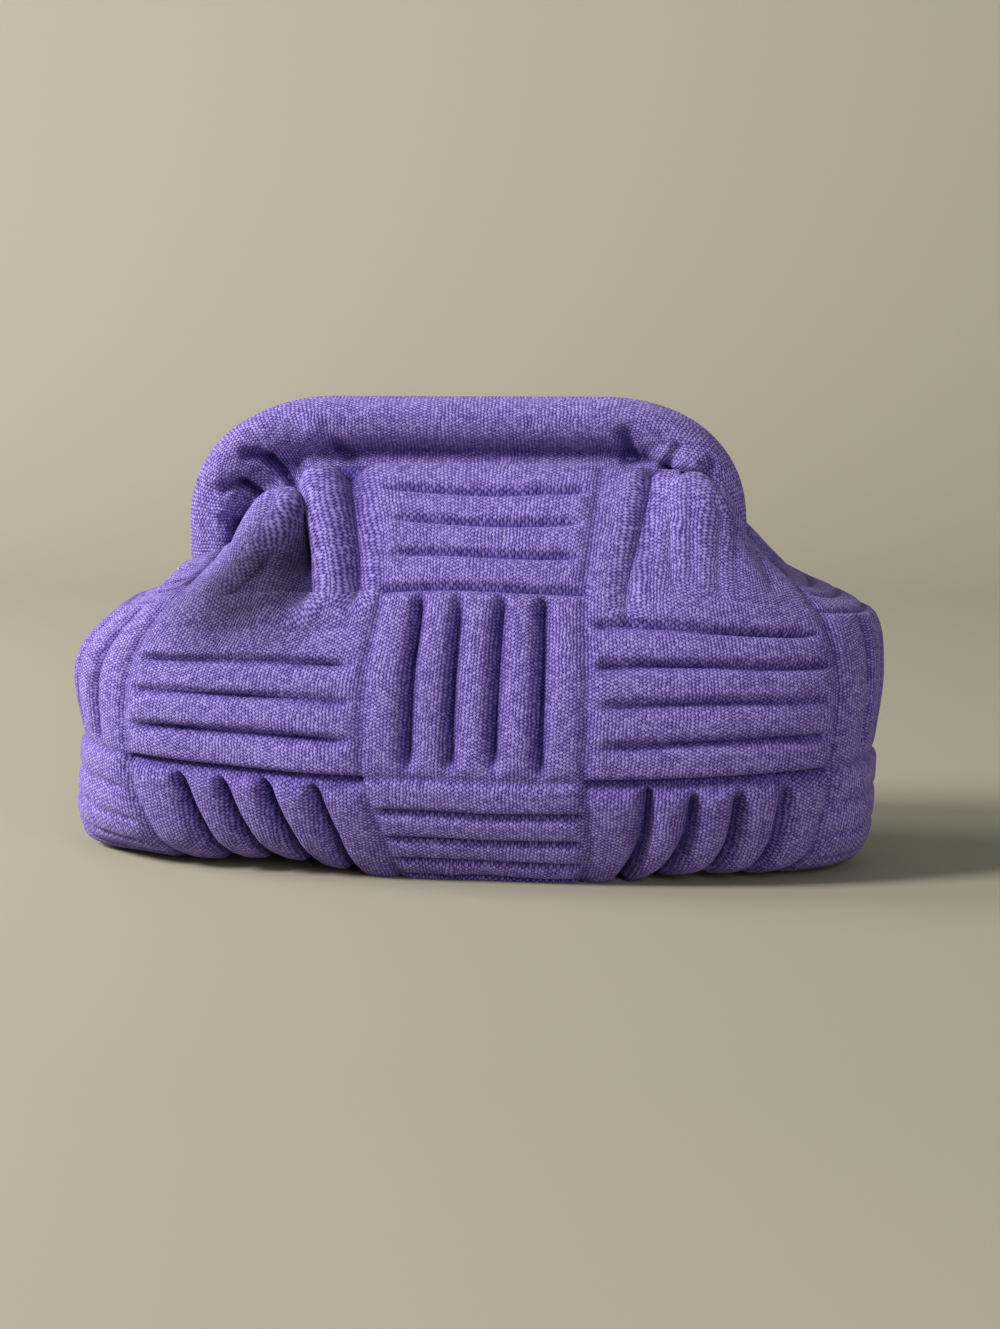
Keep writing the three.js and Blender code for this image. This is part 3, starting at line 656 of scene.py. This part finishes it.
def section_ring(section):
    """A level oval, rounder or squarer by its power, that eases from its height at the middle
    of the front and back to its height at each end, and is twisted about the upright axis."""
    _, left, right, front, back, square, middle, left_end, right_end, ease, twist = section
    t = np.linspace(0, 1, LINE_POINTS) * np.pi / 2
    across = np.sin(t) ** (2 / square)
    out = np.clip(np.cos(t), 0, 1) ** (2 / square)
    ring = np.zeros((AROUND, 3))
    for k in range(4):
        reach, end = [(right, right_end), (left, left_end)][k // 2]
        depth = [front, back, back, front][k]
        line = np.stack([reach * across, depth * out, middle + (end - middle) * across**ease], axis=-1)
        ring[quarter == k] = by_length(line, share[quarter == k])
    x, y, z = (ring * np.stack([side_x, side_y, np.ones(AROUND)], axis=-1)).T
    c, s = np.cos(np.radians(twist)), np.sin(np.radians(twist))
    return np.stack([c * x - s * y, s * x + c * y, z], axis=-1)


rings = np.stack([mouth_ring(), *(section_ring(section) for section in SECTIONS)])
knots = np.concatenate([[0], SECTIONS[:, 0]])

# The puff's direction and length at each place around: smooth steps up and down at the corners
rise = np.clip((share - PUFF_STARTS) / PUFF_RISES, 0, 1)
fall = np.clip((1 - share) / PUFF_FALLS, 0, 1)
corner_puff = rise**2 * (3 - 2 * rise) * fall**2 * (3 - 2 * fall)
lean = PUFF_LEAN * np.clip((share - PUFF_STARTS) / LEAN_RISES, 0, 1)
forward, out = np.where(side_x[:, None] < 0, LEFT_PUFF, RIGHT_PUFF).T * corner_puff
puff = np.stack([
    side_x * (PUFF_END * share**END_POWER + out * np.sin(lean)),
    side_y * (PUFF_MIDDLE * (1 - share**MIDDLE_POWER) + forward),
    out * np.cos(lean),
], axis=-1)


def smooth_pouch(v):
    """The pouch with no ribs or folds, at rows v: at each place around, a cubic curve through
    the sections that leaves the seam with the puff. A section's slope comes from its neighbours."""
    last = len(knots) - 1
    before = np.maximum(np.arange(last + 1) - 1, 0)
    after = np.minimum(np.arange(last + 1) + 1, last)
    slopes = (rings[after] - rings[before]) / (knots[after] - knots[before])[:, None, None]
    slopes[0] += puff
    k = np.clip(np.searchsorted(knots, v, side="right") - 1, 0, last - 1)
    span = (knots[k + 1] - knots[k])[:, None, None]
    t = (v - knots[k])[:, None, None] / span
    points = rings[k] * (2 * t**3 - 3 * t**2 + 1) + rings[k + 1] * (3 * t**2 - 2 * t**3)
    return points + span * (slopes[k] * (t**3 - 2 * t**2 + t) + slopes[k + 1] * (t**3 - t**2))


def outward(points):
    """Unit normals of rows of points: the way down crossed with the way round."""
    down = np.gradient(points, axis=0)
    round_it = np.roll(points, -1, axis=1) - np.roll(points, 1, axis=1)
    normal = np.cross(down, round_it)
    return normal / np.linalg.norm(normal, axis=-1, keepdims=True)


def unevenness(v, waves, longest, shortest):
    """A sum of waves in chance directions, each a whole number of times round the pouch. Down
    the pouch all rows count as equally high."""
    length = random.uniform(shortest, longest, waves)
    heading = random.uniform(0, 2 * np.pi, waves)
    phase = random.uniform(0, 2 * np.pi, waves)
    times = np.round(GIRTH / length * np.cos(heading))
    down = SWELL_ROW / length * np.sin(heading)
    angle = 2 * np.pi * (times * (around / GIRTH)[None, :, None] + down * v[:, None, None]) + phase
    return np.sin(angle).sum(axis=-1) / np.sqrt(waves)


def fold_height(v):
    """Each fold is a round ridge, or a crease where its height is negative, along a straight
    line on the flat knit: its height times (1 - d^2)^2, where d is the distance over the reach,
    which turns from the left one to the right one round the ends of the line. The ridges and
    the creases are given, each summed."""
    x = place[None, :]
    ridges = np.zeros((len(v), AROUND))
    creases = np.zeros((len(v), AROUND))
    row = ROW_HEIGHTS[0]
    for x0, v0, x1, v1, left, right, upper, lower in FOLDS:
        step = np.array([x1 - x0, (v1 - v0) * row])
        along = ((x - x0) * step[0] + (v[:, None] - v0) * row * step[1]) / (step @ step)
        along = np.clip(along, 0, 1)
        across = x - x0 - along * step[0]
        down = (v[:, None] - v0) * row - along * step[1]
        away = np.hypot(across, down)
        side = (across * step[1] - down * step[0]) / (np.hypot(*step) * np.maximum(away, ON_THE_LINE))
        away = away / ((left + right) / 2 + (right - left) / 2 * side)
        height = (upper + (lower - upper) * along) * np.clip(1 - away**2, 0, 1) ** 2
        ridges += np.maximum(height, 0)
        creases += np.minimum(height, 0)
    start = np.sin(np.clip(v / FOLDS_START, 0, 1) * np.pi / 2)[:, None]
    return ridges * start, creases * start


def rib_height(v):
    """Ribs are what is left between grooves. Inside a block the grooves run one way, down in
    every other block, and fade out before they reach its border; a fainter groove marks the
    border itself, or a full one under a block of level ribs. A groove's depth falls off from
    its line as a power of 1 - d, faster on the under side of a level rib, which sags. The height
    of the knit and the depth of its grooves, from 0 to 1, are given."""
    rows, left_lean, right_lean = COLUMN_LEAN.T
    leftness = np.interp(place, LEAN_SPAN, [0, 1, 1, 0])
    lean = np.interp(v, rows, right_lean)[:, None] * (1 - leftness)
    lean = lean + np.interp(v, rows, left_lean)[:, None] * leftness
    pattern = (around - lean + COLUMN_WIDTHS[0] / 2) % GIRTH
    edges = np.concatenate([[0], np.cumsum(COLUMN_WIDTHS)])
    column = np.searchsorted(edges, pattern, side="right") - 1
    x = (pattern - edges[column]) / COLUMN_WIDTHS[column]
    row = np.minimum(v.astype(int), FOOT - 1)[:, None]
    y = v[:, None] - row
    upright = (column + row) % 2 == 1
    count = np.where(upright, COLUMN_RIBS[column], LEVEL_RIBS[row])
    first = (FIRST_RIBS / COLUMN_WIDTHS)[column]
    after_first = 1 + (x - first) / (1 - first) * (COLUMN_RIBS[column] - 1)
    upright_phase = np.where(x < first, x / first, after_first)
    phase = np.where(upright, upright_phase, y * LEVEL_RIBS[row])
    inside = np.clip(np.minimum(phase, count - phase), 0, 1)
    phase = phase + RIB_WANDER * unevenness(v, waves=12, longest=160, shortest=60) * inside
    nearest = np.clip(np.round(phase).astype(int), 0, count)
    past = phase - nearest
    reach = np.where(~upright & (past < 0), STEEP_SIDE, HALF_RIB)
    groove = np.clip(1 - np.abs(past) / reach, 0, 1) ** np.where(upright, UPRIGHT_POWER, LEVEL_POWER)
    grooves = (len(COLUMN_WIDTHS), len(ROW_HEIGHTS), COLUMN_RIBS.max() + 2)
    strength = random.uniform(*GROOVE_STRENGTHS, grooves)
    strength[FLATTENED_GROOVE] = FLATTENED_STRENGTH
    fade_length = random.uniform(*FADE_LENGTHS, (*grooves, 2))
    end = np.where(upright, np.minimum(y, 1 - y) * ROW_HEIGHTS[row],
                   np.minimum(x, 1 - x) * COLUMN_WIDTHS[column])
    which = (np.where(upright, y, x) > 0.5).astype(int)
    fade_length = fade_length[column, row, nearest, which] * FADE_SHARES[row]
    fade = np.clip(end / fade_length, 0, 1)
    fade = np.where((row == FOOT - 1) & upright & (y > 0.5), 1, fade * fade * (3 - 2 * fade))
    fade = fade * RIB_STRENGTHS[row, column]
    level_above = np.where(y < 0.5, upright, ~upright)
    level_border = np.where(level_above, LEVEL_BORDER, PLAIN_BORDER)
    level_border = level_border * np.where(np.abs(v[:, None] - 1) < 0.5, STRETCHED_BORDER[column], 1)
    at_border = (nearest == 0) | (nearest == count)
    side_border = np.where(upright, UPRIGHT_BORDER, level_border)
    end_border = np.where(upright, level_border, UPRIGHT_BORDER)
    strength = strength[column, row, nearest] * np.where(upright, UPRIGHT_DEPTH, 1)
    depth = groove * np.where(at_border, side_border, strength * fade)
    depth = np.maximum(depth, end_border * np.clip(1 - end / BORDER_REACH, 0, 1) ** BORDER_POWER)
    relief = RIB_HEIGHT * ROW_RELIEF[row] * (1 - depth)
    from_edge = np.clip(np.minimum(v, FOOT - v) / RELIEF_STARTS, 0, 1)
    return relief * np.sin(from_edge * np.pi / 2)[:, None], depth


def make_pouch():
    """The wall is one loop of rows: out from the middle of the sole inside, up the plain inner
    face, over the mouth's edge, down the ribbed outer face and in to the middle of the sole. The
    outer face is the smooth one, moved out along its normals by the folds and then by the ribs,
    and lifted at the foot. Shade is painted into its grooves, its creases and the edge that turns
    under, and shadows are painted on it, each by (1 - d^2)^2 in an oval."""
    v = np.linspace(0, FOOT, OUTER_ROWS)
    smooth = smooth_pouch(v)
    ridges, creases = fold_height(v)
    folds = ridges + creases + SWELL_HEIGHT * unevenness(v, waves=16, longest=120, shortest=50)
    folded = smooth + outward(smooth) * folds[..., None]
    folded[0] = smooth[0]
    ribs, grooves = rib_height(v)
    outer = folded + outward(folded) * ribs[..., None]
    lifted = np.clip((v - LIFTS_FROM) / (FOOT - LIFTS_FROM), 0, 1)[:, None]
    outer[..., 2] += np.interp(place, *FOOT_LIFT.T) * lifted
    outer[..., 2] = np.maximum(outer[..., 2], 0)
    v_inside = np.linspace(FOOT, 0, INNER_ROWS)
    plain = smooth_pouch(v_inside)
    drawn_in = np.interp(v_inside, *DRAWN_IN.T)[:, None, None]
    creased = fold_height(v_inside)[1][..., None]
    inner = plain - outward(plain[::-1])[::-1] * (WALL + drawn_in - creased)
    inner[..., 2] = np.maximum(inner[..., 2], WALL)
    centre = outer[-1].mean(axis=0)
    under = centre + (outer[-1] - centre) * SOLE_SHARES
    under[..., 2] = outer[-1, :, 2] * SOLE_SHARES[..., 0] ** SOLE_FLATNESS
    inner_centre = inner[0].mean(axis=0)
    inside = (inner_centre + (inner[0] - inner_centre) * SOLE_SHARES)[::-1]
    rows = np.concatenate([inside, inner, outer, under])
    skin = slice(len(inside) + len(inner), len(rows) - len(under))
    # Painted shade: grooves and creases, and darker towards the sole where the knit turns under
    painted_under_shade = np.clip((v - TURNS_UNDER) / (FOOT - TURNS_UNDER), 0, 1)[:, None] ** 2
    shade = grooves**GROOVE_SHADE_POWER - creases / DEEPEST_FOLD + UNDER_SHADE * painted_under_shade
    painted_shade = np.zeros(rows.shape[:2])
    painted_shade[skin] = np.clip(shade, 0, 1)
    # Painted shadows, each by (1 - d^2)^2 in an oval
    middle, down, wide, tall, strength = (column[:, None, None] for column in PAINTED_SHADOW_SPOTS.T)
    away = ((place - middle) / wide) ** 2 + ((v[:, None] - down) / tall) ** 2
    painted_shadow = np.zeros(rows.shape[:2])
    painted_shadow[skin] = np.clip((strength * np.clip(1 - away, 0, 1) ** 2).sum(axis=0), 0, 1)
    steps = np.linalg.norm(np.diff(smooth, axis=0), axis=-1).mean(axis=1)
    down = np.concatenate([[0], np.cumsum(steps)]) / COURSE_HEIGHT
    wales = np.linspace(0, np.round(GIRTH / WALE_WIDTH), AROUND + 1)
    down_inside = np.interp(v_inside, v, down)
    nothing = np.zeros(SOLE_RINGS)
    courses = np.concatenate([nothing, down_inside, down, nothing])
    round_wall = np.stack(np.broadcast_arrays(wales, courses[:, None]), axis=-1)
    level = np.concatenate([rows, rows[:, :1]], axis=1)[..., :2] / (WALE_WIDTH, COURSE_HEIGHT)
    strip = np.arange(len(rows) - 1)
    on_sole = (strip < SOLE_RINGS) | (strip >= len(rows) - 1 - SOLE_RINGS)
    upper = np.where(on_sole[:, None, None], level[:-1], round_wall[:-1])
    lower = np.where(on_sole[:, None, None], level[1:], round_wall[1:])
    pouch = knit_mesh("pouch", rows, upper, lower, painted_shade, painted_shadow, knit)
    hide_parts("pouch")
    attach(pouch, "root")


make_pouch()

# Hinge covers: the ends of the sleeves, closed over the hidden hinges as soft knuckles of the
# same knit. Each spans the ends of both jaws' legs and goes down into the end of the mouth.
COVER_HALF_DEPTH = 20.5
COVER_SINKS = 7
LEG_GAP = 0.2
SQUARE_POWER = 0.7
FULL_POWER = 0.5
LAST_LATITUDE = 0.98 * np.pi / 2
GIRTH_SHARE = 0.9
COVER_ROWS = 23
COVER_AROUND = 64


def make_hinge_cover(name, leg_end, mouth_height):
    """A squarish knuckle: an oval ball whose sines and cosines, raised to powers below 1, are
    drawn towards its corners. Its girth is a share of that of the box around it."""
    low, high = (np.array(corner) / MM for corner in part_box(name))
    low[1:] = -COVER_HALF_DEPTH, mouth_height - COVER_SINKS
    high[1:] = COVER_HALF_DEPTH, leg_end - LEG_GAP
    middle = (low + high) / 2
    half = (high - low) / 2
    up = np.linspace(-LAST_LATITUDE, LAST_LATITUDE, COVER_ROWS)[:, None]
    turn = np.linspace(0, 2 * np.pi, COVER_AROUND, endpoint=False)
    ring = np.stack([np.cos(turn), np.sin(turn)])
    x, y = np.sign(ring) * np.abs(ring) ** SQUARE_POWER
    level = np.cos(up) ** FULL_POWER
    z = np.sign(np.sin(up)) * np.abs(np.sin(up)) ** SQUARE_POWER
    rows = np.stack(np.broadcast_arrays(x * level, y * level, z), axis=-1) * half + middle
    girth = 4 * (half[0] + half[1]) * GIRTH_SHARE
    wales = np.linspace(0, np.round(girth / WALE_WIDTH), COVER_AROUND + 1)
    courses = np.linspace(0, 2 * (half[0] + half[2]) / COURSE_HEIGHT, COVER_ROWS)[:, None]
    stitches = np.stack(np.broadcast_arrays(wales, courses), axis=-1)
    cover = knit_mesh(name, rows, stitches[:-1], stitches[1:], 0, 0, knit)
    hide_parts(name)
    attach(cover, "root")


make_hinge_cover("left_hinge_cover", LEFT_LEG_END, LEFT_MOUTH_HEIGHT)
make_hinge_cover("right_hinge_cover", RIGHT_LEG_END, RIGHT_MOUTH_HEIGHT)

# Floor and backdrop: one sheet of matt paper, which curves up behind the bag. Its colour is painted,
# darker towards the front as shade and paler towards its upper end as light. Its back is clear, so
# that it never stands in front of the bag.
# The painted shade at the front and the painted light at the wall
SHADED_FRONT_COLOUR = "#8d877a"
LIT_WALL_COLOUR = "#a8a194"
FLOOR_FRONT = -6.0
SWEEP_START = 1.0
SWEEP_RADIUS = 0.9
WALL_HEIGHT = 2.6
SWEEP_WIDTH = 6.0
SWEEP_STEPS = 25
PALER_FROM = -0.4
FIBRE_LENGTH = 2
FIBRE_RELIEF = 0.2


def make_sweep():
    """A profile, level, then a quarter circle, then upright, carried straight across. The paper
    is matt, with a faint tooth of fibres and no shine."""
    bend = np.linspace(0, np.pi / 2, SWEEP_STEPS)
    wall = SWEEP_START + SWEEP_RADIUS
    y = np.concatenate([[FLOOR_FRONT], SWEEP_START + SWEEP_RADIUS * np.sin(bend), [wall]])
    z = np.concatenate([[0], SWEEP_RADIUS * (1 - np.cos(bend)), [WALL_HEIGHT]])
    profile = np.stack([y, z], axis=-1)
    left = np.insert(profile, 0, -SWEEP_WIDTH, axis=1)
    right = np.insert(profile, 0, SWEEP_WIDTH, axis=1)
    count = len(profile)
    k = np.arange(count - 1)
    faces = np.stack([k, k + count, k + count + 1, k + 1], axis=-1)
    mesh = bpy.data.meshes.new("paper_sweep")
    mesh.from_pydata(np.concatenate([left, right]).tolist(), [], faces.tolist())
    mesh.polygons.foreach_set("use_smooth", np.ones(count - 1, bool))
    paper = bpy.data.materials.new("matt_paper")
    paper.use_nodes = True
    tree = paper.node_tree
    tree.nodes.clear()
    spot = node(tree, "ShaderNodeTexCoord", {}).outputs["Object"]
    fibre = node(tree, "ShaderNodeTexNoise",
                 {"Vector": spot, "Scale": 1 / (FIBRE_LENGTH * MM), "Detail": 2.0})
    bump = node(tree, "ShaderNodeBump",
                {"Height": fibre.outputs["Fac"], "Strength": 0.05, "Distance": FIBRE_RELIEF * MM})
    # Painted light and shade: the paper's colour goes from darker at the front to paler at the wall
    back = node(tree, "ShaderNodeSeparateXYZ", {"Vector": spot}).outputs["Y"]
    share = node(tree, "ShaderNodeMapRange",
                 {"Value": back, "From Min": PALER_FROM, "From Max": wall})
    painted_falloff = node(tree, "ShaderNodeMix",
                {"Factor": share.outputs[0], 6: linear(SHADED_FRONT_COLOUR), 7: linear(LIT_WALL_COLOUR)},
                data_type="RGBA")
    shader = node(tree, "ShaderNodeBsdfPrincipled", {
        "Base Color": painted_falloff.outputs[2],
        "Roughness": 0.9,
        "Specular IOR Level": 0.2,
        "Normal": bump.outputs[0],
    })
    from_behind = node(tree, "ShaderNodeNewGeometry", {}).outputs["Backfacing"]
    clear = node(tree, "ShaderNodeBsdfTransparent", {})
    one_way = node(tree, "ShaderNodeMixShader", {0: from_behind, 1: shader.outputs[0], 2: clear.outputs[0]})
    node(tree, "ShaderNodeOutputMaterial", {"Surface": one_way.outputs[0]})
    mesh.materials.append(paper)
    sweep = bpy.data.objects.new("paper_sweep", mesh)
    bpy.context.collection.objects.link(sweep)


make_sweep()

# Light: one soft lamp from the left, a little in front and not high, a weaker one straight out
# from the bag's left end, a wide weak one from the front right, for light that is thrown back,
# and a weak even fill. A lamp has a place from the bag's middle, a width and a power.
LAMPS = (
    ("key", (-1.79, -0.86, 1.34), 0.7, 88),
    ("side", (-2.1, 0.25, 0.9), 0.8, 40),
    ("bounce", (0.95, -1.8, 0.6), 1.1, 16),
)
LAMP_COLOUR = "#fffdf8"
FILL_COLOUR = "#f4f1ec"
FILL_STRENGTH = 0.29
AIM_HEIGHT = 0.1


def make_light():
    """Each lamp is a disk that faces the bag's middle: it is tipped by the angle between its
    place and straight up, then turned to the side that it stands on."""
    for name, from_middle, size, power in LAMPS:
        x, y, z = from_middle
        lamp = bpy.data.lights.new(name, "AREA")
        lamp.shape = "DISK"
        lamp.size = size
        lamp.energy = power
        lamp.color = linear(LAMP_COLOUR)[:3]
        light = bpy.data.objects.new(name, lamp)
        light.location = (x, y, z + AIM_HEIGHT)
        light.rotation_euler = (np.arctan2(np.hypot(x, y), z), 0, np.arctan2(x, -y))
        bpy.context.collection.objects.link(light)
    world = bpy.data.worlds.new("even_fill")
    world.use_nodes = True
    background = world.node_tree.nodes["Background"]
    background.inputs["Color"].default_value = linear(FILL_COLOUR)
    background.inputs["Strength"].default_value = FILL_STRENGTH
    bpy.context.scene.world = world
    bpy.context.scene.view_settings.view_transform = "Standard"


make_light()

# Camera: a long lens, a little to the right of the bag's middle and slightly above it. The
# pixel where the origin falls sets the aim, in a picture of 1000 by 1329.
AZIMUTH = np.radians(4)
ELEVATION = np.radians(8)
DISTANCE = 1.5
PICTURE = (1000, 1329)
ORIGIN_PIXEL = (477, 851)
PIXEL_SIZE = 0.4585 * MM
SENSOR_WIDTH = 36


def make_camera():
    """The lens takes in the picture's width at its distance, and the camera is moved sideways and
    up, square to its line of sight, until the origin falls on its pixel."""
    lens = bpy.data.cameras.new("camera")
    lens.sensor_fit = "HORIZONTAL"
    lens.sensor_width = SENSOR_WIDTH
    lens.lens = SENSOR_WIDTH * DISTANCE / (PICTURE[0] * PIXEL_SIZE)
    back = np.array([
        np.sin(AZIMUTH) * np.cos(ELEVATION),
        -np.cos(AZIMUTH) * np.cos(ELEVATION),
        np.sin(ELEVATION),
    ])
    right = np.array([np.cos(AZIMUTH), np.sin(AZIMUTH), 0])
    up = np.cross(back, right)
    across = PICTURE[0] / 2 - ORIGIN_PIXEL[0]
    above = ORIGIN_PIXEL[1] - PICTURE[1] / 2
    camera = bpy.data.objects.new("camera", lens)
    camera.location = (right * across + up * above) * PIXEL_SIZE + back * DISTANCE
    camera.rotation_euler = (np.pi / 2 - ELEVATION, 0, AZIMUTH)
    bpy.context.collection.objects.link(camera)
    bpy.context.scene.camera = camera


make_camera()
